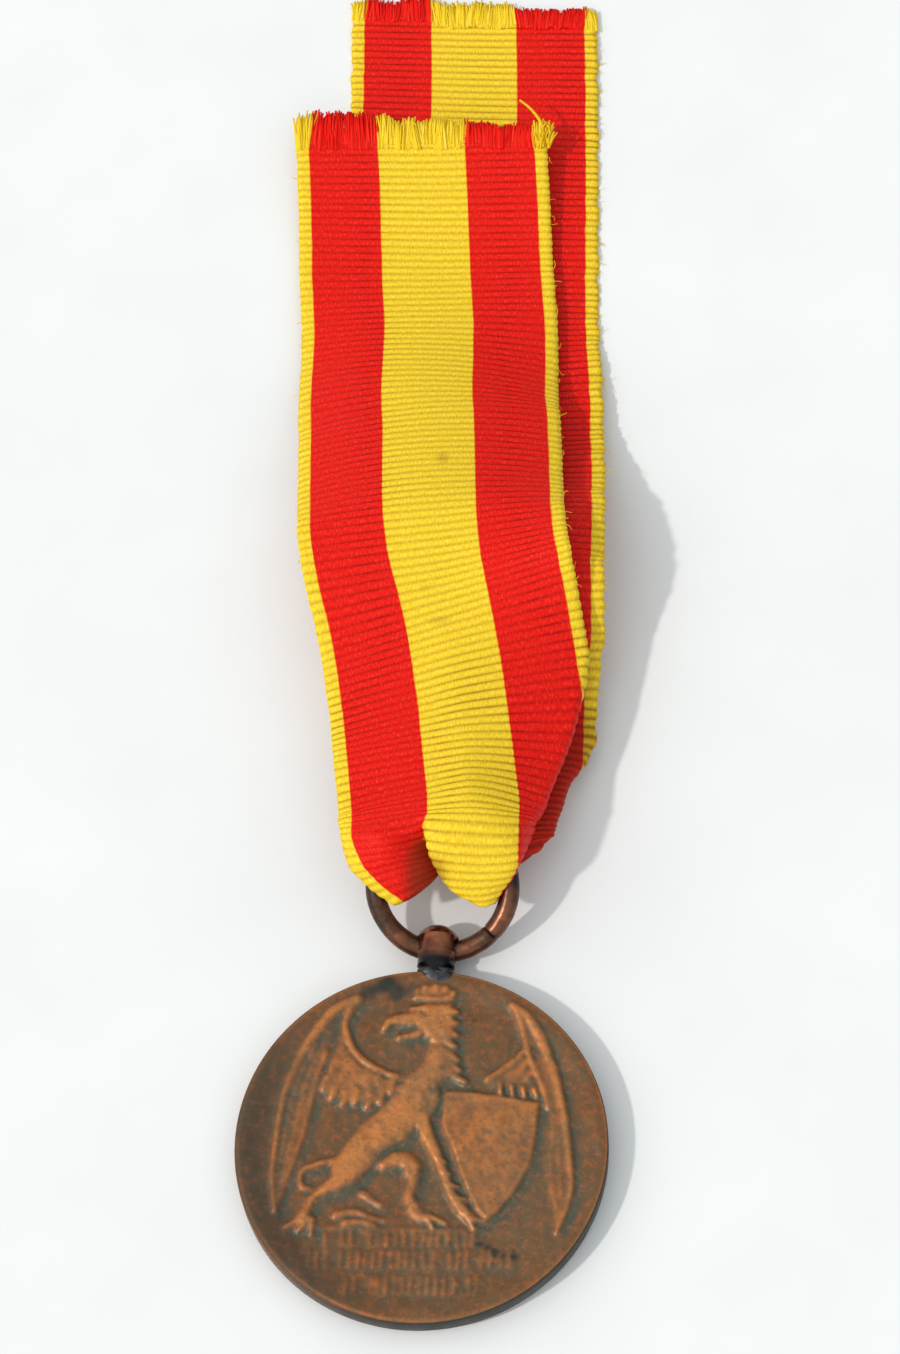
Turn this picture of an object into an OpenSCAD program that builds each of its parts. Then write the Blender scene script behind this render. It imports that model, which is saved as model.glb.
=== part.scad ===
// Order medal: struck disc, ball lug, suspension ring and a folded striped ribbon.
// Frame: origin at the centre of the disc's reverse face, +Y towards the lug, +Z out of the obverse.

/* [Disc] */
// Diameter of the disc
disc_d = 33; // [28:0.5:40]
// Thickness of the disc over its rim
disc_t = 2.4; // [2:0.1:3.5]
// Width of the raised rim round the obverse
rim_w = 0.5; // [0.3:0.1:1]
// Depth of the obverse field below the rim
field_depth = 0.55; // [0.3:0.05:0.8]
// Bevel on the disc's two edges
edge_bevel = 0.25; // [0.1:0.05:0.4]

/* [Ball lug] */
// Width of the ball across its flanks
ball_d = 3.9; // [3.5:0.1:4.5]
// Radius of the ball's domed end
dome_r = 2.1; // [2:0.1:2.3]
// Distance from the disc's edge to the ring hole
hole_reach = 2.5; // [2.3:0.1:3]
// Diameter of the hole that holds the ring
hole_d = 2.4; // [2.4:0.1:3]
// Diameter of the neck below the ball
neck_d = 3.4; // [3:0.1:3.8]
// Diameter of the waist where the neck meets the rim
waist_d = 2.6; // [2.2:0.1:3]
// Diameter of the peg inside the disc's rim
peg_d = 1.1; // [0.8:0.1:1.1]
// Length of the peg inside the disc's rim
peg_l = 2.5; // [2:0.1:4]

/* [Suspension ring] */
// Diameter of the ring's wire
wire_d = 1.8; // [1.6:0.1:1.9]
// Radius of the ring to the middle of its wire
ring_r = 6.1; // [6:0.1:7]
// Angle of the ring above the disc's plane at rest
ring_tilt = 34; // [30:1:36]
// Sideways offset of the ring in its hole
ring_shift = 0.3; // [0:0.1:0.4]
// Width of the butt seam between the wire's two ends
seam_gap = 0.08; // [0.04:0.02:0.2]
// Place of the seam round the ring
seam_angle = -42; // [-60:1:-30]

/* [Ribbon] */
// Thickness of the woven ribbon
ribbon_t = 0.45; // [0.3:0.05:0.6]
// Clearance between the ribbon and the ring's wire
wire_gap = 0.4; // [0.3:0.05:0.6]
// Distance from the disc's centre to the front strand's cut end
front_end = 110; // [100:1:120]
// Distance from the disc's centre to the back strand's cut end
back_end = 125; // [118:1:135]

/* [Hidden] */
$fn = 96;
disc_r = disc_d / 2;
mid_z = disc_t / 2;
field_z = disc_t - field_depth;
hole_y = disc_r + hole_reach;
table_z = mid_z - ball_d / 2;
// The wire hangs a little short of the hole's middle, so that it clears both mouths.
wire_sag = 0.22;
ring_reach = ring_r - wire_sag;
// The fold passes down through the ring and wraps its far arc.
fold_reach = 4.6;
loop_reach = 13.6;
fold_half_w = 4.0;
loop_half_w = 9.4;
plate_off = wire_d / 2 + wire_gap;
smooth_steps = 6;
mass_overlap = 0.05;

// Side view of each strand: places along Y and heights of its middle surface.
front_side = [
    [29.4, 10.1], [31, 9.5], [34, 8.7], [38, 8.2], [42, 8.1], [46, 8.3], [50, 8.7],
    [54, 9.0], [58, 9.1], [64, 8.4], [72, 6.0], [80, 3.3], [87, 1.4], [93, 0.8],
    [101, 1.3], [front_end, 2.5]
];
back_side = [
    [31.1, 7.5], [33, 6.5], [36, 5.1], [40, 4.2], [44, 4.2], [48, 5.2], [51, 6.7],
    [54.5, 8.0], [58, 7.7], [61, 7.1], [65, 4.9], [69, 2.6], [73, 1.1], [78, 0.2],
    [84, table_z + ribbon_t / 2], [90, table_z + ribbon_t / 2],
    [114, table_z + ribbon_t / 2], [118, table_z + ribbon_t / 2],
    [back_end, table_z + ribbon_t / 2 + 0.5]
];
// Plan of each strand: its left edge from the ring outwards, then its right edge back.
front_plan = [
    [-9.4, 29.85], [-12.5, 45], [-14.9, 58], [-18.5, 89], [-21, front_end],
    [4, front_end], [6, 90], [8.6, 60], [10.2, 51], [12.4, 46], [12.8, 42], [9.4, 29.85]
];
back_plan = [
    [-9.4, 31.55], [-11.5, 45], [-12.2, 56], [-13.8, 72], [-15, 96], [-16.7, back_end],
    [8.3, back_end], [10, 96], [11.3, 72], [12.6, 56], [13.6, 44], [9.4, 31.55]
];

// Catmull-Rom value between p1 and p2 at t from 0 to 1.
function between(p0, p1, p2, p3, t) = 0.5 * (
    2 * p1 + (p2 - p0) * t
    + (2 * p0 - 5 * p1 + 4 * p2 - p3) * t * t
    + (3 * p1 - p0 - 3 * p2 + p3) * t * t * t
);
// A smooth curve through the points of a list.
function smooth(p) = concat(
    [for (i = [0 : len(p) - 2], k = [0 : smooth_steps - 1])
        between(p[max(i - 1, 0)], p[i], p[i + 1], p[min(i + 2, len(p) - 1)], k / smooth_steps)],
    [p[len(p) - 1]]
);
function unit(v) = v / norm(v);
// The normal of a curve at its point i.
function normal_at(c, i) =
    let (d = unit(c[min(i + 1, len(c) - 1)] - c[max(i - 1, 0)])) [-d[1], d[0]];
// The curve moved sideways by a distance.
function shifted(c, off) = [for (i = [0 : len(c) - 1]) c[i] + off * normal_at(c, i)];
function reversed(c) = [for (i = [len(c) - 1 : -1 : 0]) c[i]];

// Puts its children in the ring's own plane, with the hole's axis at their origin.
module in_ring_plane() {
    translate([0, hole_y, mid_z])
        rotate([ring_tilt, 0, 0])
            children();
}

// Extrudes a side view drawn in Y and Z to both sides along X.
module across(width) {
    rotate([90, 0, 90])
        linear_extrude(width, center = true)
            children();
}

// A strip of ribbon: its side view, cut to its plan.
module strand(side, plan) {
    curve = smooth(side);
    reach = 60;
    intersection() {
        across(reach)
            polygon(concat(shifted(curve, ribbon_t / 2), reversed(shifted(curve, -ribbon_t / 2))));
        translate([0, 0, -reach / 2])
            linear_extrude(reach)
                polygon(plan);
    }
}

// The blank of the disc, turned about Z.
module disc_blank() {
    rotate_extrude()
        polygon([
            [0, 0], [disc_r - edge_bevel, 0], [disc_r, edge_bevel],
            [disc_r, disc_t - edge_bevel], [disc_r - edge_bevel, disc_t],
            [disc_r - rim_w, disc_t], [disc_r - rim_w - 0.3, field_z], [0, field_z]
        ]);
}

// A raised area of the obverse.
module relief(height) {
    translate([0, 0, field_z - mass_overlap])
        linear_extrude(height + mass_overlap)
            children();
}

module disc() {
    shield = [
        [1.6, 4.7], [8.4, 4.7], [9.6, 2], [9.7, -1.1], [8.6, -5],
        [6.3, -8], [3.6, -5.2], [1.9, -2], [1.2, 1.5]
    ];
    left_wing = [
        [-2.5, 6], [-4.5, 10.5], [-6.8, 12.8], [-9.6, 10], [-11.6, 6], [-12.8, 0],
        [-12, -7], [-10.2, -2], [-8, 2.5], [-5, 4.5]
    ];
    right_wing = [
        [3.4, 6], [4.6, 10.5], [7, 13], [9.8, 10], [11.8, 6], [12.9, 0],
        [12.3, -7], [10.6, -4], [10.2, 2], [9, 5.4]
    ];
    beast = [
        [-2.6, 13.2], [2.4, 13.2], [3.2, 9], [2.6, 5], [1, 4], [0.6, 0], [1.4, -3], [3, -7.6],
        [0.2, -7.8], [-2.4, -4], [-5, -5.4], [-8.2, -7.8], [-10.4, -7.8], [-6.6, -2],
        [-4.4, 1.6], [-4, 5], [-5.4, 8.6], [-3.4, 10.4]
    ];
    color("saddlebrown")
        difference() {
            union() {
                disc_blank();
                relief(0.45) polygon(beast);
                relief(0.4) polygon(shield);
                relief(0.3) polygon(left_wing);
                relief(0.3) polygon(right_wing);
                relief(0.25) translate([-11, -9]) square([23, 0.5]);
            }
            translate([0, disc_r - peg_l, mid_z])
                rotate([-90, 0, 0])
                    cylinder(d = peg_d, h = peg_l + 1);
        }
}

// Ball, neck and peg in one turned piece, drilled across for the ring.
module ball_lug() {
    r = ball_d / 2;
    dome_y = hole_reach + 0.2;
    shoulder = sqrt(dome_r * dome_r - r * r);
    arc = [for (a = [0 : 6 : 66]) [dome_r * sin(a), dome_y + dome_r * cos(a)]];
    color("sienna")
        translate([0, disc_r, mid_z])
            difference() {
                rotate([-90, 0, 0])
                    rotate_extrude()
                        polygon(concat(
                            arc,
                            [
                                [r, dome_y + shoulder], [r, 1.9], [r - 0.1, 1.6],
                                [neck_d / 2, 1.35], [neck_d / 2, 0.75],
                                [waist_d / 2, 0.4], [waist_d / 2, 0],
                                [peg_d / 2, 0], [peg_d / 2, -peg_l], [0, -peg_l]
                            ]
                        ));
                translate([0, hole_reach, 0])
                    rotate([0, 90, 0])
                        cylinder(d = hole_d, h = 2 * ball_d, center = true);
            }
}

// The solder round the waist, seated on the disc's curved edge.
module solder_fillet() {
    inner = waist_d / 2;
    color("dimgray")
        difference() {
            translate([0, disc_r - 0.5, mid_z])
                rotate([-90, 0, 0])
                    rotate_extrude()
                        polygon([[inner, 0], [inner + 0.5, 0], [inner + 0.45, 0.5], [inner, 0.85]]);
            cylinder(r = disc_r, h = 4 * disc_t, center = true, $fn = 256);
        }
}

module suspension_ring() {
    seam = seam_gap / ring_r * 180 / PI;
    color("peru")
        in_ring_plane()
            translate([ring_shift, ring_reach, 0])
                rotate([0, 0, seam_angle])
                    rotate_extrude(angle = 360 - seam)
                        translate([ring_r, 0])
                            circle(d = wire_d);
}

// The gathered fold: down through the ring on its near side and round the far arc.
module ribbon_loop() {
    outer = plate_off + ribbon_t;
    plan = [
        [-fold_half_w, fold_reach], [-fold_half_w, 6.4], [-loop_half_w, loop_reach],
        [loop_half_w, loop_reach], [fold_half_w, 6.4], [fold_half_w, fold_reach]
    ];
    color("firebrick")
        in_ring_plane()
            translate([ring_shift, 0, 0])
                intersection() {
                    across(60)
                        difference() {
                            union() {
                                translate([fold_reach + outer, 0]) circle(r = outer);
                                translate([fold_reach + outer, -outer])
                                    square([loop_reach - fold_reach - outer, 2 * outer]);
                            }
                            translate([fold_reach + outer, 0]) circle(r = plate_off);
                            translate([fold_reach + outer, -plate_off])
                                square([loop_reach, 2 * plate_off]);
                        }
                    translate([0, 0, -30])
                        linear_extrude(60)
                            polygon(plan);
                }
}

module ribbon_front() {
    color("crimson") strand(front_side, front_plan);
}

module ribbon_back() {
    color("gold") strand(back_side, back_plan);
}

disc();
ball_lug();
solder_fillet();
suspension_ring();
ribbon_loop();
ribbon_front();
ribbon_back();
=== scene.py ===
"""Looks for the order medal: struck disc, ball lug, solder, ring and the folded striped ribbon.

Lengths are in millimetres in the part's own frame and go to metres at the mesh.
"""

import math

import bpy
import numpy as np
from mathutils import Matrix, Vector


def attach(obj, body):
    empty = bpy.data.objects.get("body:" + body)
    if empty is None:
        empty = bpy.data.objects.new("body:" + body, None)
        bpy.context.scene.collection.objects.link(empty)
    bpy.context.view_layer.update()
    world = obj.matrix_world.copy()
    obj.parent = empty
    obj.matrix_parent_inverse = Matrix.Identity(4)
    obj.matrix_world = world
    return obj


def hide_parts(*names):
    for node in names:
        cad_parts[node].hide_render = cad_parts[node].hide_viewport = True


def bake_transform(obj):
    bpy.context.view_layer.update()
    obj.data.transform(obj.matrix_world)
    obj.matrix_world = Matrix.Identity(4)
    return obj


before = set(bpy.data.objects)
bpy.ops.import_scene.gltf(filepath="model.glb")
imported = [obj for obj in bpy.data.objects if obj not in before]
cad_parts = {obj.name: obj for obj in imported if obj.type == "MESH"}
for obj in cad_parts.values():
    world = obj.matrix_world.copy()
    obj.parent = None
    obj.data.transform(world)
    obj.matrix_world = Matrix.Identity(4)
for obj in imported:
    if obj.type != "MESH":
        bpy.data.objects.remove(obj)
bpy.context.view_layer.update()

MM = 0.001
# The table's height: the ball stands this far below the disc's reverse face.
TABLE_Z = -0.75

# The ribbon: distance between ribs, half its width, and where its colours change across it.
RIB = 0.80
HALF_W = 12.5
STRIPE_IN = 4.35
STRIPE_OUT = 11.3

# The ring: middle of the lug's hole, its tilt in degrees, how far its centre is from the hole,
# the radius of the wire's middle line, and the wire's own radius.
HOLE_Y = 19
HOLE_Z = 1.2
RING_TILT = 34
RING_REACH = 5.88
RING_RADIUS = 6.1
WIRE_RADIUS = 0.9

# The disc: where the square maps of its relief start on both axes, the height that counts as
# fully raised for its colour, the depth of the reverse and the radius of its wreath.
MAP_START = -17
FULL_RELIEF = 0.36
REVERSE_DEPTH = 0.24
WREATH_RADIUS = 11.6


# ---------- small helpers ----------

def smooth_line(points, step):
    """A Catmull-Rom curve through the points at an even step, and the distances along it."""
    p = np.array(points, float)
    p = np.vstack([2 * p[0] - p[1], p, 2 * p[-1] - p[-2]])
    out = []
    for i in range(1, len(p) - 2):
        t = np.linspace(0, 1, 40, endpoint=False)[:, None]
        a, b, c, d = p[i - 1], p[i], p[i + 1], p[i + 2]
        out.append(0.5 * (2 * b + (c - a) * t + (2 * a - 5 * b + 4 * c - d) * t ** 2
                          + (3 * b - a - 3 * c + d) * t ** 3))
    line = np.vstack(out + [p[-2][None]])
    s = np.concatenate([[0], np.cumsum(np.linalg.norm(np.diff(line, axis=0), axis=1))])
    even = np.arange(0, s[-1], step)
    return np.stack([np.interp(even, s, line[:, k]) for k in range(line.shape[1])], axis=1), even


def ramp(x, lo, hi):
    """0 below lo, 1 above hi, smooth between; lo may be above hi."""
    t = np.clip((x - lo) / (hi - lo), 0, 1)
    return t * t * (3 - 2 * t)


def unit(vectors):
    """Rows of vectors brought to length 1."""
    return vectors / np.linalg.norm(vectors, axis=1)[:, None]


def shade_smooth(mesh):
    mesh.polygons.foreach_set("use_smooth", np.ones(len(mesh.polygons), bool))


def new_mesh(name, verts, faces, attributes=None):
    """A smooth-shaded mesh object from millimetre points, with float point attributes."""
    mesh = bpy.data.meshes.new(name)
    mesh.from_pydata((np.asarray(verts) * MM).tolist(), [], faces)
    mesh.update()
    for key, values in (attributes or {}).items():
        layer = mesh.attributes.new(key, "FLOAT", "POINT")
        layer.data.foreach_set("value", np.asarray(values, np.float32))
    obj = bpy.data.objects.new(name, mesh)
    bpy.context.scene.collection.objects.link(obj)
    shade_smooth(mesh)
    return obj


def grid_quads(rows, cols, offset=0, wrap=False, flip=False):
    """Quads of a grid of points stored row by row."""
    r, c = np.meshgrid(np.arange(rows - 1), np.arange(cols if wrap else cols - 1), indexing="ij")
    c2 = (c + 1) % cols
    q = np.stack([r * cols + c, r * cols + c2, (r + 1) * cols + c2, (r + 1) * cols + c], axis=-1)
    q = q.reshape(-1, 4) + offset
    return (q[:, ::-1] if flip else q).tolist()


def tube_faces(sides, rings, offset):
    """Faces of a closed tube: rings of points stored one after the other, and two end caps."""
    faces = grid_quads(rings, sides, offset, wrap=True)
    faces.append([offset + k for k in range(sides)][::-1])
    faces.append([offset + (rings - 1) * sides + k for k in range(sides)])
    return faces


# ---------- shader helpers ----------

class Nodes:
    """Short ways to add nodes to a tree. A value is a number, a colour or a node's output."""

    def __init__(self, tree):
        self.tree = tree

    def put(self, value, socket):
        """Links an output to the socket, or sets a number or a colour on it."""
        if isinstance(value, bpy.types.NodeSocket):
            self.tree.links.new(value, socket)
        elif isinstance(value, tuple):
            socket.default_value = (*value, 1.0)
        else:
            socket.default_value = value

    def add(self, kind, inputs, output=0, **settings):
        """Adds a node, fills its settings and inputs, and gives one of its outputs."""
        node = self.tree.nodes.new("ShaderNode" + kind)
        for key, value in settings.items():
            setattr(node, key, value)
        for key, value in inputs.items():
            self.put(value, node.inputs[key])
        return node.outputs[output]

    def surface(self, inputs):
        """Fills inputs of the material's surface shader."""
        for key, value in inputs.items():
            self.put(value, self.tree.nodes["Principled BSDF"].inputs[key])

    def attribute(self, name):
        """A point attribute of the mesh."""
        return self.add("Attribute", {}, "Fac", attribute_name=name)

    def axis(self, name, space="Object"):
        """One coordinate of the place in the object's own metres, or in another space."""
        return self.add("SeparateXYZ", {0: self.add("TexCoord", {}, space)}, name)

    def times(self, a, b, clamp=False):
        return self.add("Math", {0: a, 1: b}, operation="MULTIPLY", use_clamp=clamp)

    def plus(self, a, b):
        return self.add("Math", {0: a, 1: b}, operation="ADD")

    def noise(self, scale, detail, vector=None, roughness=0.55):
        """Noise at scale cells per unit of the vector, or per metre of the object without one."""
        if vector is None:
            vector = self.add("TexCoord", {}, "Object")
        return self.add("TexNoise", {"Scale": scale, "Detail": detail, "Roughness": roughness,
                                     "Vector": vector}, "Fac")

    def span(self, value, a, b, c=0.0, d=1.0):
        """Maps a..b onto c..d and clamps."""
        return self.add("MapRange", {"Value": value, "From Min": a, "From Max": b,
                                     "To Min": c, "To Max": d}, "Result")

    def ramp(self, factor, *stops):
        """A colour ramp through stops, each a place and a colour."""
        node = self.tree.nodes.new("ShaderNodeValToRGB")
        elements = node.color_ramp.elements
        while len(elements) < len(stops):
            elements.new(0.5)
        for element, (place, colour) in zip(elements, stops):
            element.position = place
            element.color = (*colour, 1.0)
        self.put(factor, node.inputs["Fac"])
        return node.outputs["Color"]

    def mix(self, factor, a, b, blend="MIX"):
        """Mixes two colours; inputs 6 and 7 and output 2 are the node's colour sockets."""
        return self.add("Mix", {0: factor, 6: a, 7: b}, 2, data_type="RGBA", blend_type=blend,
                        clamp_factor=True)

    def bump(self, height, distance, strength):
        """Puts a bump on the surface shader's normal."""
        inputs = {"Height": height, "Distance": distance, "Strength": strength}
        self.surface({"Normal": self.add("Bump", inputs, "Normal")})


def new_material(name):
    material = bpy.data.materials.new(name)
    material.use_nodes = True
    return material, Nodes(material.node_tree)


# ---------- materials ----------

def ribbon_material():
    """Ribbed silk: red with golden stripes, coloured by its place across and along the weave."""
    material, n = new_material("ribbon_rep")
    weft = n.attribute("weft")
    warp = n.attribute("warp")

    def threads(across, along, detail, roughness=0.55):
        """Noise with this many cells per millimetre across and along the weave."""
        vector = n.add("CombineXYZ", {0: n.times(weft, across), 1: n.times(warp, along)})
        return n.noise(1.0, detail, vector, roughness)

    wander = n.times(n.plus(threads(5.0, 0.25, 2.0), -0.5), 0.18)
    across = n.plus(n.add("Math", {0: weft}, operation="ABSOLUTE"), wander)
    inner = n.span(across, STRIPE_IN - 0.06, STRIPE_IN + 0.06)
    outer = n.span(across, STRIPE_OUT - 0.06, STRIPE_OUT + 0.06)
    fleck = threads(6.0, 2.2, 3.0, 0.7)
    yellow = n.ramp(fleck, (0.30, (0.72, 0.44, 0.010)), (0.50, (0.85, 0.58, 0.022)),
                    (0.70, (0.95, 0.72, 0.08)))
    red = n.ramp(fleck, (0.30, (0.60, 0.006, 0.004)), (0.52, (0.76, 0.008, 0.004)),
                 (0.72, (0.93, 0.045, 0.020)))
    colour = n.mix(inner, yellow, red)
    colour = n.mix(outer, colour, yellow)
    # Painted shade: the rib valleys, the pleat, the turned-under side and the back strand's fold are
    # darkened.
    colour = n.mix(n.times(n.attribute("painted_shade"), 0.85), colour, (0.30, 0.12, 0.06), "MULTIPLY")
    # Brown stains on the front's yellow stripe, and a brown painted shade in the pleat and the back
    # strand's fold.
    colour = n.mix(n.attribute("ribbon_stain_and_shade"), colour, (0.16, 0.075, 0.02))
    n.surface({"Base Color": colour, "Roughness": 0.45, "Specular IOR Level": 0.10})
    n.bump(threads(11.0, 1.6, 2.0, 0.6), 0.00006, 0.35)
    return material


def bronze_material():
    """Struck bronze: brown field, orange-brown on what stands up, grey-green patina in the recesses
    with painted shadow beside the forms.
    """
    material, n = new_material("struck_bronze")
    rub = n.noise(420.0, 5.0)
    fine = n.noise(2600.0, 4.0)
    grain = n.noise(1500.0, 5.0, None, 0.75)
    level = n.plus(n.attribute("height"), n.times(n.plus(rub, -0.5), 0.7))
    colour = n.ramp(level, (0.0, (0.158, 0.066, 0.022)), (0.30, (0.228, 0.084, 0.026)),
                    (0.65, (0.405, 0.138, 0.034)), (1.0, (0.520, 0.188, 0.048)))
    # Olive clouds, grey-green patina in the recesses with painted shadow beside the forms, dark and
    # orange grain, dirt, and the stains (with painted shade on the edge wall's lower right) over all of
    # it.
    cloud = n.span(n.noise(150.0, 3.0), 0.42, 0.68, 0.0, 0.50)
    grey = n.times(n.attribute("recess_patina_and_shadow"), n.plus(rub, 0.50), clamp=True)
    dirt = n.times(n.span(fine, 0.56, 0.72), 0.45)
    for factor, tint in ((cloud, (0.145, 0.100, 0.052)), (grey, (0.072, 0.076, 0.050)),
                         (n.span(grain, 0.50, 0.66, 0.0, 0.50), (0.105, 0.085, 0.050)),
                         (n.span(grain, 0.50, 0.34, 0.0, 0.45), (0.430, 0.125, 0.042)),
                         (dirt, (0.075, 0.050, 0.028)), (n.attribute("stain_and_wall_shade"), (0.018, 0.026, 0.024))):
        colour = n.mix(factor, colour, tint)
    n.surface({"Base Color": colour, "Metallic": 0.55,
               "Roughness": n.span(rub, 0.3, 0.7, 0.40, 0.56)})
    n.bump(fine, 0.00005, 0.35)
    return material


def lug_material():
    """Ball and neck: glossy orange-brown bronze that darkens towards the neck."""
    material, n = new_material("lug_gloss")
    patch = n.noise(700.0, 4.0)
    colour = n.ramp(patch, (0.35, (0.13, 0.042, 0.021)), (0.65, (0.34, 0.120, 0.062)))
    off_neck = n.span(n.axis("Y"), 0.0176, 0.0190)
    colour = n.mix(off_neck, (0.018, 0.018, 0.020), colour)
    n.surface({"Base Color": colour, "Metallic": 0.95,
               "Roughness": n.span(patch, 0.3, 0.7, 0.13, 0.20)})
    n.bump(n.noise(1800.0, 3.0), 0.00003, 0.12)
    return material


def solder_material():
    """Dark oxidised solder, a little bluish."""
    material, n = new_material("solder_dark")
    patch = n.noise(1500.0, 4.0)
    colour = n.ramp(patch, (0.35, (0.012, 0.013, 0.016)), (0.7, (0.07, 0.068, 0.075)))
    n.surface({"Base Color": colour, "Metallic": 0.6, "Roughness": 0.42})
    n.bump(patch, 0.00010, 0.5)
    return material


def ring_material():
    """Ring wire: rubbed copper brown with greenish patches, and painted shade taking it nearly to black
    where it runs under the ribbon's fold.
    """
    material, n = new_material("ring_copper")
    patch = n.noise(480.0, 4.0)
    fine = n.noise(2200.0, 3.0)
    colour = n.ramp(patch, (0.36, (0.040, 0.028, 0.020)), (0.5, (0.120, 0.048, 0.026)),
                    (0.66, (0.245, 0.092, 0.044)))
    colour = n.mix(n.span(fine, 0.58, 0.7, 0.0, 0.5), colour, (0.07, 0.075, 0.06))
    # Painted shade: the wire turns nearly black towards the far side, where the ribbon's fold covers
    # it.
    far = n.span(n.axis("Y"), 0.0212, 0.0246, 0.0, 0.90)
    colour = n.mix(far, colour, (0.016, 0.017, 0.019))
    n.surface({"Base Color": colour, "Metallic": 0.8,
               "Roughness": n.span(patch, 0.3, 0.7, 0.42, 0.28)})
    n.bump(fine, 0.00005, 0.4)
    return material


def floor_material():
    """Pale matt floor with a faint change of tone."""
    material, n = new_material("pale_floor")
    tone = n.noise(60.0, 2.0)
    colour = n.ramp(tone, (0.3, (0.77, 0.77, 0.775)), (0.7, (0.80, 0.80, 0.805)))
    n.surface({"Base Color": colour, "Roughness": 0.9, "Specular IOR Level": 0.1})
    return material


# ---------- the ribbon ----------

# Front strand: middle line (x, y, z), from the fold inside the ring and the hump to the woven end.
FRONT_LINE = [
    (4.3, 22.7, 3.9), (4.3, 21.95, 4.8), (4.0, 22.7, 5.7), (3.7, 23.6, 6.7), (3.4, 24.6, 7.7),
    (3.1, 25.8, 8.8), (2.8, 27.4, 9.9), (2.6, 29.3, 10.1), (2.4, 31.1, 9.8), (1.9, 34, 8.9),
    (1.2, 38, 8.3), (0.5, 42, 8.1), (-0.8, 48, 8.5), (-2.3, 54, 9.0), (-3.0, 58, 9.1),
    (-3.5, 62, 8.8), (-4.4, 71, 6.3), (-5.0, 76, 4.7), (-5.6, 84.5, 1.9), (-6.5, 92, 0.75),
    (-7.3, 100, 1.2), (-8.0, 106.35, 2.0),
]
# Back strand: from the same fold, under the ring and along the table.
BACK_LINE = [
    (4.0, 22.7, 3.9), (3.5, 24, 4.2), (2.8, 26, 4.8), (2.2, 28, 5.2), (1.8, 31, 5.1), (1.5, 36, 4.2),
    (1.4, 41, 3.4), (1.3, 45, 4.2), (1.0, 49.5, 5.7), (0.8, 53, 7.4), (0.6, 56, 8.0), (0.5, 60, 7.4),
    (0.2, 64.3, 5.4), (0.0, 68, 3.0), (-0.4, 72, 1.4), (-0.9, 78.5, 0.45), (-1.7, 86, -0.4),
    (-2.5, 100, -0.52), (-3.3, 114, -0.52), (-4.0, 123.7, -0.35),
]
# The front strand is gathered over this length from its hidden end. The gather's lines have a point
# every GATHER_STEP along it, from UNDER on; before that the cloth goes down inside the ring.
FRONT_GATHER = 8.6
GATHER_STEP = 1.5
UNDER = 1.0
SAMPLES_PER_RIB = 5
# Loose yarns: how low they may lie, and the place across the weave that colours selvedge yarns.
LOOSE_Z = -0.6
EDGE_YARN = 12.2

# The gather over the ring: lines along the strand, each with its place across the weave and its
# points (x, y, z) every GATHER_STEP from the fold's lowest row up past the tip of the pleat.
GATHER = (
    ("selvedge", (-12.5,) * 8, (
        (-4.0, 21.8, 4.6), (-5.6, 22.6, 5.3), (-6.8, 23.4, 6.0), (-7.9, 24.3, 6.6),
        (-8.5, 25.6, 7.2), (-8.8, 26.7, 7.8), (-9.0, 28.0, 7.9), (-9.4, 29.9, 7.6))),
    ("lobe", (-9.8, -9.4, -9.1, -8.9, -8.7, -8.6, -8.6, -8.6), (
        (-2.1, 22.6, 5.4), (-2.9, 23.2, 6.6), (-3.7, 24.0, 7.4), (-4.2, 24.6, 8.2),
        (-4.8, 25.3, 8.9), (-5.4, 26.3, 9.4), (-5.7, 27.9, 9.4), (-6.1, 30.0, 9.1))),
    ("pleat_left", (-7.0, -6.3, -5.8, -5.2, -4.15, -4.85, -4.9, -4.9), (
        (-0.3, 24.8, 5.0), (-0.2, 25.4, 5.5), (-0.4, 25.9, 6.1), (-0.8, 26.4, 6.8),
        (-1.3, 27.0, 7.9), (-1.7, 27.5, 9.3), (-1.7, 29.1, 10.0), (-1.7, 30.9, 9.6))),
    ("pleat_deep", (-2.6, -3.4, -4.0, -4.3, -3.9, -4.6, -4.7, -4.7), (
        (0.0, 26.9, 4.7), (0.0, 27.0, 5.2), (-0.1, 27.0, 5.9), (-0.3, 27.1, 6.7),
        (-0.8, 27.2, 7.9), (-1.5, 27.6, 9.4), (-1.4, 29.1, 10.0), (-1.5, 30.9, 9.6))),
    ("tongue_left", (1.6, -0.8, -2.5, -3.5, -3.6, -4.3, -4.5, -4.5), (
        (3.3, 22.3, 4.8), (1.7, 22.8, 5.6), (0.5, 23.7, 6.7), (-0.4, 24.8, 7.9),
        (-0.9, 26.0, 9.0), (-1.2, 27.5, 9.9), (-1.2, 29.1, 10.1), (-1.3, 31.0, 9.7))),
    ("tongue", (2.9, 1.8, 0.9, 0.4, 0.1, 0.0, 0.0, 0.0), (
        (4.2, 22.0, 4.8), (4.0, 22.7, 5.7), (3.7, 23.6, 6.7), (3.4, 24.6, 7.7),
        (3.1, 25.8, 8.8), (2.8, 27.4, 9.9), (2.6, 29.3, 10.1), (2.4, 31.1, 9.8))),
    ("stripe_edge", (4.2, 4.4, 4.4, 4.5, 4.5, 4.5, 4.5, 4.5), (
        (4.9, 22.4, 4.6), (5.8, 23.4, 5.5), (6.6, 24.3, 6.4), (7.1, 25.3, 7.3),
        (7.1, 26.5, 7.9), (7.1, 28.0, 8.4), (7.0, 29.7, 8.5), (6.8, 31.3, 8.2))),
    ("fold_edge", (4.6, 4.8, 4.9, 5.0, 5.5, 6.2, 6.9, 7.7), (
        (5.05, 22.5, 4.5), (5.9, 23.5, 5.4), (6.7, 24.6, 5.9), (7.2, 25.8, 6.4),
        (7.7, 27.3, 6.3), (8.2, 29.1, 6.0), (8.7, 30.9, 5.8), (9.2, 32.5, 5.6))),
)


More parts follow.
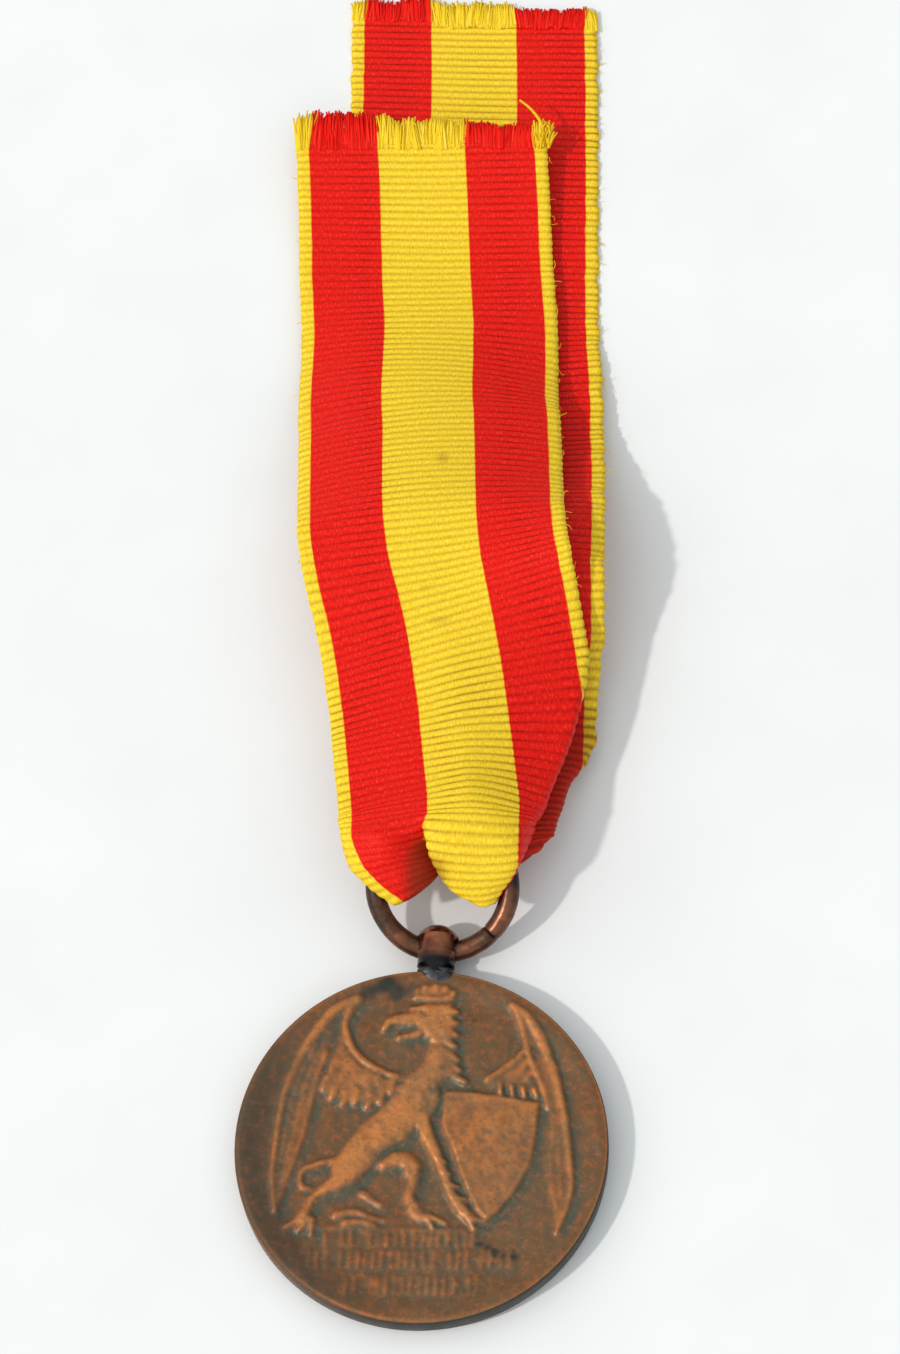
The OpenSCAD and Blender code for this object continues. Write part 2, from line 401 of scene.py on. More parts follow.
def spaced_cubic(places, values, at):
    """Cubic through values at uneven places, read at the places `at`; values may be points."""
    x = np.asarray(places, float)
    v = np.asarray(values, float).reshape(len(x), -1)
    slope = np.diff(v, axis=0) / np.diff(x)[:, None]
    m = np.vstack([slope[:1], (slope[1:] + slope[:-1]) / 2, slope[-1:]])
    before = np.abs(np.vstack([slope[:1], slope]))
    after = np.abs(np.vstack([slope, slope[-1:]]))
    steep = 1.5 * np.minimum(before, after)
    m = np.clip(m, -steep - 0.15, steep + 0.15)
    k = np.clip(np.searchsorted(x, at, side="right") - 1, 0, len(x) - 2)
    h = (x[k + 1] - x[k])[:, None]
    t = np.clip((at - x[k])[:, None] / h, 0, 1)
    return (v[k] * (2 * t ** 3 - 3 * t ** 2 + 1) + v[k + 1] * (3 * t ** 2 - 2 * t ** 3)
            + m[k] * h * (t ** 3 - 2 * t ** 2 + t) + m[k + 1] * h * (t ** 3 - t ** 2))


def gather_row(s, w):
    """The gathered cloth's row at distance s from the front strand's hidden end."""
    knots = np.arange(8)
    t = min(max(s - UNDER, 0.0) / GATHER_STEP, 7.0)
    places, points = [], []
    for _, weft, line in GATHER:
        places.append(float(np.interp(t, knots, weft)))
        points.append(spaced_cubic(knots, line, np.array([t]))[0])
    edge, at = points[-1], places[-1]
    inner = edge + np.array([-0.2, 0.35, -0.8])
    reach = (11.7 - at) * np.interp(t, [0, 2, 5], [0.55, 0.65, 0.8])
    rise = np.interp(t, [0, 4, 7], [-0.1, 1.1, 1.5])
    places += [at + 0.8, HALF_W]
    points += [inner, inner + np.array([-reach, np.interp(t, [0, 5], [1.3, 0.3]), rise])]
    row = spaced_cubic(places, points, w)
    under = max(UNDER - s, 0.0) / UNDER
    row = row + np.array([0.0, 0.75, -0.75]) * under
    return row + np.array([0.0, -0.18, -0.05]) * math.sin(math.pi * under)


def turns_front(y):
    """Place across at which the front strand's right side turns under, at each y."""
    return np.interp(y, [26.5, 28.2, 30.3, 32.8, 37.6, 41.4, 45],
                     [5.9, 5.8, 6.3, 7.3, 10.2, 12.1, 13.6])


def turns_back(y):
    """Place across at which the back strand's right side turns under, at each y."""
    return np.interp(y, [24.7, 26.7, 28.9, 31.3, 33.5, 36, 38.5, 42],
                     [7.4, 7.8, 8.1, 8.6, 9.3, 10.5, 11.9, 13.4])


def cross_section(w, y, front):
    """Offsets across (x) and up (h) of the cloth's middle surface for rows y and columns w."""
    step = np.gradient(w)[None, :]
    across = w[None, :]
    if front:
        edge = turns_front(y)[:, None]
        angle = -math.pi * 0.97 * ramp(across, edge - 0.55, edge + 0.55)
    else:
        edge = turns_back(y)[:, None]
        left = -edge - 0.2
        angle = -math.pi * 0.97 * ramp(across, edge - 0.5, edge + 0.5)
        angle += math.pi * 0.95 * ramp(across, left + 0.5, left - 0.5)
    dx = np.cos(angle) * step
    dh = np.sin(angle) * step
    x = np.cumsum(dx, axis=1) - dx / 2
    h = np.cumsum(dh, axis=1) - dh / 2
    zero = int(np.argmin(np.abs(w)))
    return x - x[:, zero:zero + 1], h - h[:, zero:zero + 1]


def front_set(x, h, w, y):
    """The front strand's own set: sunken left side, lifted right edge, arched across on the slope."""
    yy = y[:, None]
    left = np.clip(-w / HALF_W, 0, 1)[None, :]
    right = np.clip(np.minimum(w[None, :], turns_front(yy) + 0.3) / HALF_W, 0, 1)
    sink = np.interp(yy, [28, 31, 36, 44, 56, 64, 72], [2.4, 2.2, 1.5, 1.0, 0.9, 0.4, 0.0])
    lift = np.interp(yy, [27, 29, 31, 33, 36.5, 39, 43, 47, 50, 53, 57, 61, 66],
                     [-6.5, -8.5, -8.9, -7.0, -4.2, -2.8, -2.2, -1.1, 0.6, 1.9, 1.1, 0.4, 0.0])
    arch = 1.9 * ramp(yy, 55, 66) * ramp(yy, 92, 78)
    h = h - sink * left ** 1.4 + lift * right ** 1.5 - arch * (w[None, :] / HALF_W) ** 2
    x = x + 0.65 * ramp(w, 1.0, -4.5)[None, :] * ramp(yy, 60, 50)
    skew = w[None, :] * (0.11 * ramp(yy, 36, 41) * ramp(yy, 54, 48) - 0.06 * ramp(yy, 68, 80))
    return x, h, skew


def back_set(x, h, w, y):
    """The back strand's own set: both sides hang lower where the front strand hides them."""
    yy = y[:, None]
    left = np.clip(-w / HALF_W, 0, 1)[None, :]
    right = np.clip(w / HALF_W, 0, 1)[None, :]
    sink = np.interp(yy, [38, 46, 52, 60, 66, 74], [0.2, 1.2, 2.6, 2.4, 1.0, 0.0])
    droop = np.interp(yy, [25, 28, 34, 40, 52, 60, 68], [2.4, 2.6, 2.4, 1.6, 0.7, 0.9, 0.0])
    h = h - sink * left - droop * right ** 2
    x = x - 0.8 * right * ramp(yy, 32, 36) * ramp(yy, 50, 43)
    skew = -0.06 * w[None, :] * ramp(yy, 80, 92)
    return x, h, skew


def columns():
    """Places across the ribbon, closer together where the cloth is pleated and turned."""
    u = np.linspace(-HALF_W, HALF_W, 400)
    density = 1 + 1.4 * np.exp(-((u + 3.6) / 2.0) ** 2) + 0.9 * np.exp(-((u - 6.5) / 2.2) ** 2)
    total = np.concatenate([[0], np.cumsum((density[1:] + density[:-1]) / 2)])
    return np.interp(np.linspace(0, total[-1], 76), total, u)


def strand_surface(line, front, seed):
    """The strand's middle surface as rows of points, the distances along (s) and across (w) it,
    and its directions along and up at each row."""
    centre, s = smooth_line(line, RIB / SAMPLES_PER_RIB)
    w = columns()
    y = centre[:, 1]
    tangent = unit(np.gradient(centre, axis=0))
    lateral = np.cross(tangent, np.array([0, 0, 1.0]))
    lateral[:, 2] = 0
    lateral = unit(lateral)
    lateral *= np.sign(lateral[:, :1])
    normal = np.cross(lateral, tangent)
    normal *= np.sign(normal[:, 2:3])
    x, h = cross_section(w, y, front)
    x, h, skew = front_set(x, h, w, y) if front else back_set(x, h, w, y)
    rng = np.random.default_rng(seed)
    wave = sum(rng.normal(0, a) * np.sin(k * s[:, None] / 9.0 + rng.uniform(0, 6) + w[None, :] / 7)
               for k, a in ((1, 0.05), (2.3, 0.04), (4.1, 0.02)))
    h = h + wave
    points = (centre[:, None, :] + x[..., None] * lateral[:, None, :]
              + h[..., None] * normal[:, None, :] + skew[..., None] * tangent[:, None, :])
    share = ramp(s, FRONT_GATHER + 2.6, FRONT_GATHER - 0.2) if front else ramp(s, 5.0, 0.0)
    for k in np.nonzero(share)[0]:
        if front:
            row = gather_row(s[k], w)
        else:
            row = gather_row(0.0, w) + np.array([0.0, 0.85, 0.22]) * s[k]
        points[k] = points[k] * (1 - share[k]) + row * share[k]
    return points, s, w, tangent, normal


def unit_grid(vectors):
    """A grid of vectors brought to length 1."""
    return vectors / np.maximum(np.linalg.norm(vectors, axis=2), 1e-9)[..., None]


def closed_strip(rows, cols):
    """Faces between a grid of top points and a grid of bottom points, with the four sides."""
    count = rows * cols
    faces = grid_quads(rows, cols) + grid_quads(rows, cols, count, flip=True)
    r = np.arange(rows - 1) * cols
    c = np.arange(cols - 1)
    last = (rows - 1) * cols
    for a, b, flip in ((r, r + cols, False), (r + cols - 1, r + 2 * cols - 1, True),
                       (c, c + 1, True), (last + c, last + c + 1, False)):
        q = np.stack([a, b, b + count, a + count], axis=1)
        faces += (q[:, ::-1] if flip else q).tolist()
    return faces


def worn_marks(points):
    """Brown stains on the front strand's yellow stripe."""
    marks = np.zeros(points.shape[:2])
    for x, y, rx, ry, amount in ((-2.6, 66.5, 0.7, 0.9, 0.34), (-1.6, 48.8, 1.2, 0.5, 0.22),
                                 (-3.0, 52.0, 0.8, 0.4, 0.16)):
        d = np.hypot((points[..., 0] - x) / rx, (points[..., 1] - y) / ry)
        marks = np.maximum(marks, amount * ramp(d, 1.2, 0.3))
    return marks


def front_shades(points, painted_shade, w):
    """Painted shade on the front strand: darker rib valleys, pleat and turned-under side; brown stains,
    and a brown painted shade in the pleat.
    """
    x, y, z = np.moveaxis(points, 2, 0)
    # Painted shade in the pleat and on the turned-under right side.
    pleat_shade = np.exp(-((x + 1.1) / 1.8) ** 4) * ramp(z, 8.9, 7.4) * ramp(y, 28.6, 27.0)
    turned = ramp(w[None, :] - turns_front(y), 0.0, 0.6) * ramp(y, 44, 38)
    painted_shade = np.clip(painted_shade + 0.8 * np.maximum(pleat_shade, turned), 0, 1)
    return painted_shade, np.maximum(worn_marks(points), 0.25 * pleat_shade)


def back_shades(points, painted_shade):
    """Painted shade on the back strand: darker rib valleys and a brown tint, deepest inside the fold
    where the front strand shades it.
    """
    # Painted shade: stronger towards the fold, under the front strand.
    fold_shade = ramp(points[..., 1], 46, 38)
    return np.clip(painted_shade * (1.25 + 2 * fold_shade) + 0.45 * fold_shade, 0, 1), 0.12 * fold_shade


def ribbed_strand(name, line, front, seed):
    """A closed, ribbed strip of ribbon with scalloped, gently waving selvedges."""
    points, s, w, tangent, normal = strand_surface(line, front, seed)
    rows, cols = points.shape[:2]
    along = s[:, None]
    rng = np.random.default_rng(seed + 7)
    jitter = np.cumsum(rng.normal(0, 0.010, rows))
    sway = 0.10 * np.sin(w / 4.1 + 1.3)[None, :]
    crest = np.abs(np.sin(math.pi * (along / RIB + jitter[:, None] * 0.35 + sway))) ** 0.6
    half = (0.10 + 0.125 * crest) * (1 + 0.03 * rng.normal(0, 1, (1, cols)))
    edge = np.abs(w)[None, :] > HALF_W - 0.01
    near = ramp(np.abs(w), 10.6, HALF_W)[None, :]
    outward = unit_grid(np.gradient(points, axis=1))
    n = unit_grid(np.cross(np.gradient(points, axis=1), np.gradient(points, axis=0)))
    ripple = sum(a * np.sin(along * k + rng.uniform(0, 6, (1, 1)) + 1.7 * (w[None, :] > 0))
                 for k, a in ((2.1, 0.07), (1.3, 0.06), (3.4, 0.05)))
    ripple = ripple * (0.22 if front else 0.9)
    scallop = np.where(edge, 0.14 * crest - 0.05, 0) + near * ripple
    points = points + outward * np.sign(w)[None, :, None] * scallop[..., None]
    points = points + n * (near * np.roll(ripple, 9, 0) * 1.3)[..., None]
    thick = (half * np.where(edge, 0.55, 1.0))[..., None]
    verts = np.concatenate([(points + n * thick).reshape(-1, 3), (points - n * thick).reshape(-1, 3)])
    verts[:, 2] = np.maximum(verts[:, 2], TABLE_Z + 0.01)
    # Painted shade in the rib valleys, darkest midway between crests.
    painted_shade = (1 - crest) ** 1.5
    painted_shade, ribbon_stain_and_shade = front_shades(points, painted_shade, w) if front else back_shades(points, painted_shade)
    maps = {"weft": w[None, :], "warp": along, "painted_shade": painted_shade, "ribbon_stain_and_shade": ribbon_stain_and_shade}
    obj = new_mesh(name, verts, closed_strip(rows, cols), {
        key: np.tile(np.broadcast_to(values, (rows, cols)).ravel(), 2)
        for key, values in maps.items()})
    return obj, points, tangent[-1], normal[-1], w


def yarn_tubes(name, yarns, sides=5):
    """Many yarns in one mesh, each a path, its radius and its place across the weave."""
    verts, faces, weft_values = [], [], []
    turn = np.linspace(0, 2 * math.pi, sides, endpoint=False)
    for path, radius, weft in yarns:
        t = unit(np.gradient(path, axis=0))
        a = unit(np.cross(t, np.array([0.31, 0.17, 0.93])))
        b = np.cross(t, a)
        taper = np.linspace(1, 0.55, len(path))
        offset = len(verts)
        for k in range(len(path)):
            for angle in turn:
                spoke = math.cos(angle) * a[k] + math.sin(angle) * b[k]
                verts.append(path[k] + radius * taper[k] * spoke)
                weft_values.append(weft)
        faces += tube_faces(sides, len(path), offset)
    zeros = np.zeros(len(verts))
    return new_mesh(name, verts, faces, {"weft": weft_values, "warp": np.asarray(weft_values) * 1.7,
                                         "painted_shade": zeros, "ribbon_stain_and_shade": zeros})


def loose_yarn(rng, point, direction, length, bend, steps, thickness, weft, floor_z=LOOSE_Z):
    """A yarn that leaves the point along direction and bends at random, above the floor.

    It gives the path, a radius drawn from the thickness range, and the place across the weave."""
    d = direction / np.linalg.norm(direction)
    path = [point]
    drift = rng.normal(0, bend, 3)
    for _ in range(steps):
        d = d + drift / steps + rng.normal(0, bend * 0.35, 3)
        d /= np.linalg.norm(d)
        point = point + d * length / steps
        point[2] = max(point[2], floor_z)
        path.append(point)
    return np.array(path), rng.uniform(*thickness), weft


def fringe(end, tangent, normal, w, seed, length, root, floor_z=LOOSE_Z):
    """The frayed warp yarns at a cut end: dense, nearly parallel and a little matted.

    length and root are (places across, values): how long the yarns are, and how far before the
    woven end they come loose."""
    rng = np.random.default_rng(seed)
    yarns = []
    count = 700
    share = np.linspace(0, 1, count)
    lean = np.interp(share, np.linspace(0, 1, 19), rng.normal(0, 0.10, 19))
    shorten = np.interp(share, np.linspace(0, 1, 26), rng.uniform(0.84, 1.03, 26))
    uneven = np.interp(share, np.linspace(0, 1, 40), rng.uniform(-0.15, 0.30, 40))
    side = np.cross(tangent, normal)
    for k in range(count):
        place = -HALF_W + 0.05 + (2 * HALF_W - 0.1) * (k + rng.uniform(-0.4, 0.4)) / (count - 1)
        place = float(np.clip(place, -HALF_W + 0.03, HALF_W - 0.03))
        i = int(np.clip(np.searchsorted(w, place) - 1, 0, len(w) - 2))
        base = end[i] + (end[i + 1] - end[i]) * (place - w[i]) / (w[i + 1] - w[i])
        loose = float(np.interp(place, *root)) + uneven[k] + rng.uniform(-0.15, 0.25)
        up = rng.uniform(-0.10, 0.10) + 0.20 * ramp(loose, 0.3, 0.8)
        base = base - tangent * loose + normal * up
        reach = float(np.interp(place, *length)) * shorten[k] * rng.uniform(0.88, 1.05)
        direction = tangent + side * (lean[k] + rng.normal(0, 0.04)) + normal * rng.normal(0.0, 0.03)
        yarns.append(loose_yarn(rng, base, direction, reach, 0.06, 5, (0.12, 0.17), place, floor_z))
    return yarns


def front_fringe(end, tangent, normal, w):
    """Front cut end: fringe, and the tuft with one stray pale thread at its right corner."""
    length = ((-12.5, -11.0, -4.9, -4.2, 4, 5, 12.5), (3.6, 4.4, 4.2, 3.6, 3.3, 2.9, 2.8))
    root = ((-12.5, 12.5), (0.3, 0.3))
    yarns = fringe(end, tangent, normal, w, 11, length, root)
    rng = np.random.default_rng(12)
    corner = end[-1]
    for _ in range(60):
        base = corner + rng.uniform((-0.9, -0.9, -0.1), (0.5, 0.9, 0.4))
        direction = np.array([rng.uniform(-0.15, 0.30), 1.0, rng.uniform(0.0, 0.30)])
        reach = rng.uniform(0.8, 1.8)
        yarns.append(loose_yarn(rng, base, direction, reach, 0.30, 7, (0.11, 0.16), EDGE_YARN))
    bends = ((-0.4, 1.2, 0.3), (-0.8, 2.2, 0.7), (-1.8, 3.4, 1.0), (-3.0, 4.4, 1.1))
    stray, _ = smooth_line(corner + np.array(bends), 0.25)
    yarns.append((stray, 0.20, EDGE_YARN))
    return yarn_tubes("front_fringe", yarns)


def back_fringe(end, tangent, normal, w):
    """Back cut end: the yellow and the right red yarns come loose further down than the left ones."""
    length = ((-12.5, -4.9, -4.2, 4, 5, 12.5), (2.6, 3.0, 3.1, 3.0, 2.5, 2.4))
    root = ((-12.5, -5.0, -4.2, 12.5), (0.3, 0.3, 1.1, 1.1))
    return yarn_tubes("back_fringe", fringe(end, tangent, normal, w, 21, length, root, -0.62))


def selvedge_fuzz(name, rows, seed, count_left, count_right):
    """Short broken fibres along the two selvedges, beyond the folds."""
    rng = np.random.default_rng(seed)
    yarns = []
    free = np.nonzero(rows[:, -1, 1] > 46)[0]
    for side, count in ((-1, count_left), (1, count_right)):
        column = 0 if side < 0 else -1
        for _ in range(count):
            k = int(rng.choice(free))
            outward = rows[k, column] - rows[k, column - side]
            outward /= np.linalg.norm(outward)
            direction = outward + rng.normal(0, 0.55, 3)
            yarns.append(loose_yarn(rng, rows[k, column], direction, rng.uniform(0.35, 0.95), 0.9, 5,
                                    (0.025, 0.05), side * EDGE_YARN))
    return yarn_tubes(name, yarns, sides=4)


def build_ribbon():
    """The folded ribbon: two strands that share the gather, their frayed ends and loose fibres."""
    material = ribbon_material()
    front, rows, tangent, normal, w = ribbed_strand("ribbon_front_sheet", FRONT_LINE, True, 3)
    fringe_front = front_fringe(rows[-1], tangent, normal, w)
    fuzz_front = selvedge_fuzz("front_fuzz", rows, 31, 24, 40)
    back, rows, tangent, normal, w = ribbed_strand("ribbon_back_sheet", BACK_LINE, False, 5)
    fringe_back = back_fringe(rows[-1], tangent, normal, w)
    fuzz_back = selvedge_fuzz("back_fuzz", rows, 33, 4, 60)
    for obj in (front, back, fringe_front, fringe_back, fuzz_front, fuzz_back):
        obj.data.materials.append(material)
    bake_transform(front)
    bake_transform(back)
    for obj in (fringe_front, fuzz_front):
        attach(obj, "front_strand")
    for obj in (fringe_back, fuzz_back):
        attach(obj, "back_strand")
    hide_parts("ribbon_front", "ribbon_loop")
    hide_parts("ribbon_back")


# ---------- the disc ----------

def distance_to_line(x, y, points):
    """Distance of each x, y to a polyline, and how far along it the nearest place is, 0 to 1."""
    p = np.array(points, float)
    best = np.full(x.shape, 1e9)
    along = np.zeros(x.shape)
    lengths = np.linalg.norm(np.diff(p, axis=0), axis=1)
    total, done = lengths.sum(), 0.0
    for a, b, length in zip(p[:-1], p[1:], lengths):
        d = b - a
        t = np.clip(((x - a[0]) * d[0] + (y - a[1]) * d[1]) / (length * length), 0, 1)
        dist = np.hypot(x - a[0] - t * d[0], y - a[1] - t * d[1])
        closer = dist < best
        best = np.where(closer, dist, best)
        along = np.where(closer, (done + t * length) / total, along)
        done += length
    return best, along


def inside(x, y, outline):
    """Which x, y lie inside the closed outline, by counting crossings."""
    hit = np.zeros(x.shape, bool)
    for a, b in zip(outline, np.roll(outline, -1, axis=0)):
        cross = (a[1] > y) != (b[1] > y)
        slope = (b[0] - a[0]) / (b[1] - a[1] if b[1] != a[1] else 1e-9)
        hit ^= cross & (x < a[0] + (y - a[1]) * slope)
    return hit


class Relief:
    """Heights h over points x, y. Each shape or line raises what is lower than itself."""

    def __init__(self, x, y):
        self.x, self.y = x, y
        self.h = np.zeros(x.shape)

    def depth_inside(self, outline):
        """Distance to the outline, and which points lie inside it."""
        outline = np.array(outline, float)
        d, _ = distance_to_line(self.x, self.y, np.vstack([outline, outline[:1]]))
        return d, inside(self.x, self.y, outline)

    def shape(self, outline, height, soft):
        """A raised flat area with a soft shoulder inside its outline."""
        d, hit = self.depth_inside(outline)
        self.h = np.maximum(self.h, np.where(hit, height * ramp(d, -0.02, soft), 0))

    def ridge(self, points, width, height, end_width=None, power=0.6):
        """Height of a rounded ridge along a smooth line through the points; it isn't applied."""
        line, _ = smooth_line(points, 0.35)
        lo, hi = line.min(0) - 2.5, line.max(0) + 2.5
        near = (self.x > lo[0]) & (self.x < hi[0]) & (self.y > lo[1]) & (self.y < hi[1])
        d, t = distance_to_line(self.x[near], self.y[near], line)
        end = width if end_width is None else end_width
        half = width / 2 + (end - width) / 2 * t
        out = np.zeros(self.x.shape)
        out[near] = height * np.clip(1 - (d / half) ** 2, 0, 1) ** power
        return out

    def line(self, points, width, height, end_width=None, power=0.6):
        """A raised ridge."""
        self.h = np.maximum(self.h, self.ridge(points, width, height, end_width, power))

    def strokes(self, strokes, width, height, end_width):
        """Straight raised ridges of one kind, each from x, y to x, y."""
        for ax, ay, bx, by in strokes:
            self.line([(ax, ay), (bx, by)], width, height, end_width)


def wing(relief, bone, inner, strips):
    """A raised wing: its web, then long feathers at shares of its width, then its bone."""
    relief.shape(bone + inner[::-1], 0.13, 0.5)
    outer_line, _ = smooth_line(bone, 0.5)
    inner_line, _ = smooth_line(inner, 0.5)
    places = np.linspace(0, 1, 12)
    for share in strips:
        a = outer_line[(places * (len(outer_line) - 1)).astype(int)]
        b = inner_line[(places * (len(inner_line) - 1)).astype(int)]
        relief.line((a + (b - a) * share)[3:], 0.75, 0.22, 0.4)
    relief.line(bone, 1.25, FULL_RELIEF, 0.55)


def left_wing(relief):
    """Spread wing on the left, with two rows of short feathers over the long ones."""
    bone = [(-6.7, 13.4), (-8.1, 12.7), (-9.5, 11.2), (-10.9, 8.7), (-12.0, 6.1), (-12.6, 3.4),
            (-12.8, 0.4), (-12.9, -2.9), (-12.7, -5.0), (-12.3, -7.0)]
    inner = [(-7.2, 12.8), (-8.2, 10.6), (-8.8, 8.4), (-9.4, 6.0), (-9.7, 3.6), (-10.0, 1.2),
             (-10.6, -1.4), (-11.4, -3.8), (-12.2, -6.9)]
    wing(relief, bone, inner, (0.30, 0.58, 0.86))
    coverts = [(-9.4, 5.0), (-8.5, 3.7), (-7.3, 3.1), (-6.0, 3.3), (-4.8, 2.9), (-3.5, 3.5),
               (-2.8, 4.9), (-2.4, 6.2), (-4.3, 6.8), (-5.8, 7.7), (-6.9, 9.1), (-7.9, 10.9),
               (-8.8, 8.6)]
    relief.shape(coverts, 0.24, 0.9)
    fold = [(-7.1, 12.9), (-7.7, 11.2), (-6.9, 9.0), (-5.6, 7.6), (-4.2, 6.8), (-2.4, 6.2)]
    relief.line(fold, 0.85, 0.36, 0.7)
    tips = ((-9.1, 4.6), (-8.3, 3.8), (-7.3, 3.3), (-6.2, 3.4), (-5.1, 3.1), (-4.0, 3.6), (-3.2, 4.6))
    relief.strokes([(px + 0.25, py + 1.3, px, py) for px, py in tips], 0.8, 0.36, 0.9)
    second = ((-8.6, 6.2), (-7.6, 5.5), (-6.5, 5.3), (-5.4, 5.2), (-4.4, 5.4))
    relief.strokes([(px + 0.2, py + 0.9, px, py) for px, py in second], 0.75, 0.33, 0.8)


def right_wing(relief):
    """Narrower wing on the right, partly behind the shield."""
    bone = [(7.3, 13.6), (8.6, 12.5), (10.0, 10.4), (11.1, 7.9), (11.9, 5.4), (12.6, 2.5), (13.1, -0.4),
            (13.4, -3.2), (13.0, -5.7), (12.3, -7.6)]
    inner = [(7.5, 13.2), (8.1, 11.8), (8.6, 10.0), (9.4, 8.0), (10.3, 6.0), (11.0, 3.7), (11.2, 1.2),
             (10.9, -1.3), (11.2, -3.6), (12.0, -5.6), (12.3, -7.5)]
    wing(relief, bone, inner, (0.4, 0.75))
    relief.shape([(8.4, 10.2), (9.4, 7.9), (10.2, 5.6), (8.2, 5.7), (5.9, 5.6), (4.8, 6.2), (6.6, 7.3),
                  (7.7, 8.5)], 0.20, 0.8)
    relief.line(inner[:6], 0.85, 0.36, 0.45)
    feathers = ((8.6, 9.4, 7.5, 7.9), (9.1, 8.6, 8.0, 7.0), (9.6, 7.6, 8.7, 6.3), (7.9, 8.4, 5.4, 6.4))
    relief.strokes(feathers, 0.75, 0.32, 0.6)


def crown(relief):
    """A low crown: a band, a filled cap and a row of small beads along its top."""
    cap = [(-1.6, 13.9), (2.0, 14.0), (2.1, 14.7), (1.3, 15.2), (0.3, 15.35), (-0.7, 15.2),
           (-1.6, 14.8)]
    relief.shape(cap, 0.20, 0.4)
    relief.line([(-1.5, 13.95), (0.2, 13.85), (1.9, 14.05)], 0.55, 0.36)
    beads = ((-1.45, 14.85), (-0.75, 15.1), (0.25, 15.25), (1.15, 15.1), (1.85, 14.75))
    relief.strokes([(px, py - 0.5, px + 0.03, py) for px, py in beads], 0.42, 0.36, 0.55)


def head_and_neck(relief):
    """Beaked head in profile on a shaggy neck."""
    head = [(-0.9, 13.7), (2.1, 13.9), (2.6, 11.7), (2.5, 9.4), (0.5, 8.9), (-0.3, 9.6), (-0.9, 10.3),
            (-2.4, 10.4), (-4.0, 11.0), (-3.8, 11.8), (-3.0, 12.2), (-2.4, 12.6), (-1.6, 13.0)]
    neck = [(-0.4, 9.9), (2.5, 9.9), (2.9, 8.1), (3.7, 6.1), (2.0, 5.5), (1.5, 4.0), (-2.2, 4.7),
            (-3.0, 6.3), (-1.4, 7.1), (-0.6, 8.3)]
    relief.shape(neck, 0.48, 1.4)
    relief.shape(head, 0.42, 0.9)
    relief.line([(-4.1, 10.8), (-3.7, 11.4), (-2.8, 11.8), (-1.6, 12.0)], 0.8, 0.46, 1.1)
    relief.line([(-2.7, 10.0), (-1.8, 10.2), (-0.8, 10.5)], 0.65, 0.38, 0.9)
    relief.h -= relief.ridge([(-3.2, 10.9), (-2.3, 11.0), (-1.1, 11.1)], 0.45, 0.24, 0.25)
    relief.h -= relief.ridge([(-0.9, 12.4), (-0.5, 12.4)], 0.6, 0.18)
    relief.line([(-1.8, 12.8), (-0.6, 13.0), (0.4, 12.8)], 0.45, 0.46, 0.3)
    locks = ((0.9, 13.0, 2.3, 12.6), (1.0, 12.0, 2.5, 11.5), (1.1, 11.0, 2.5, 10.4),
             (1.1, 10.0, 2.6, 9.2), (1.2, 9.0, 2.8, 8.0), (1.4, 8.0, 3.1, 7.0), (1.6, 7.0, 3.5, 6.0))
    relief.strokes(locks, 1.0, 0.44, 0.7)
    fur = ((0.2, 9.6), (0.9, 8.6), (0.0, 8.0), (1.0, 7.3), (-0.6, 6.8), (0.6, 6.2), (-1.4, 5.9),
           (0.0, 5.2), (-1.6, 4.9), (0.9, 4.4), (-0.4, 4.1))
    for px, py in fur:
        relief.h += relief.ridge([(px + 0.2, py + 0.6), (px - 0.3, py - 0.3)], 0.7, 0.09, 0.3)


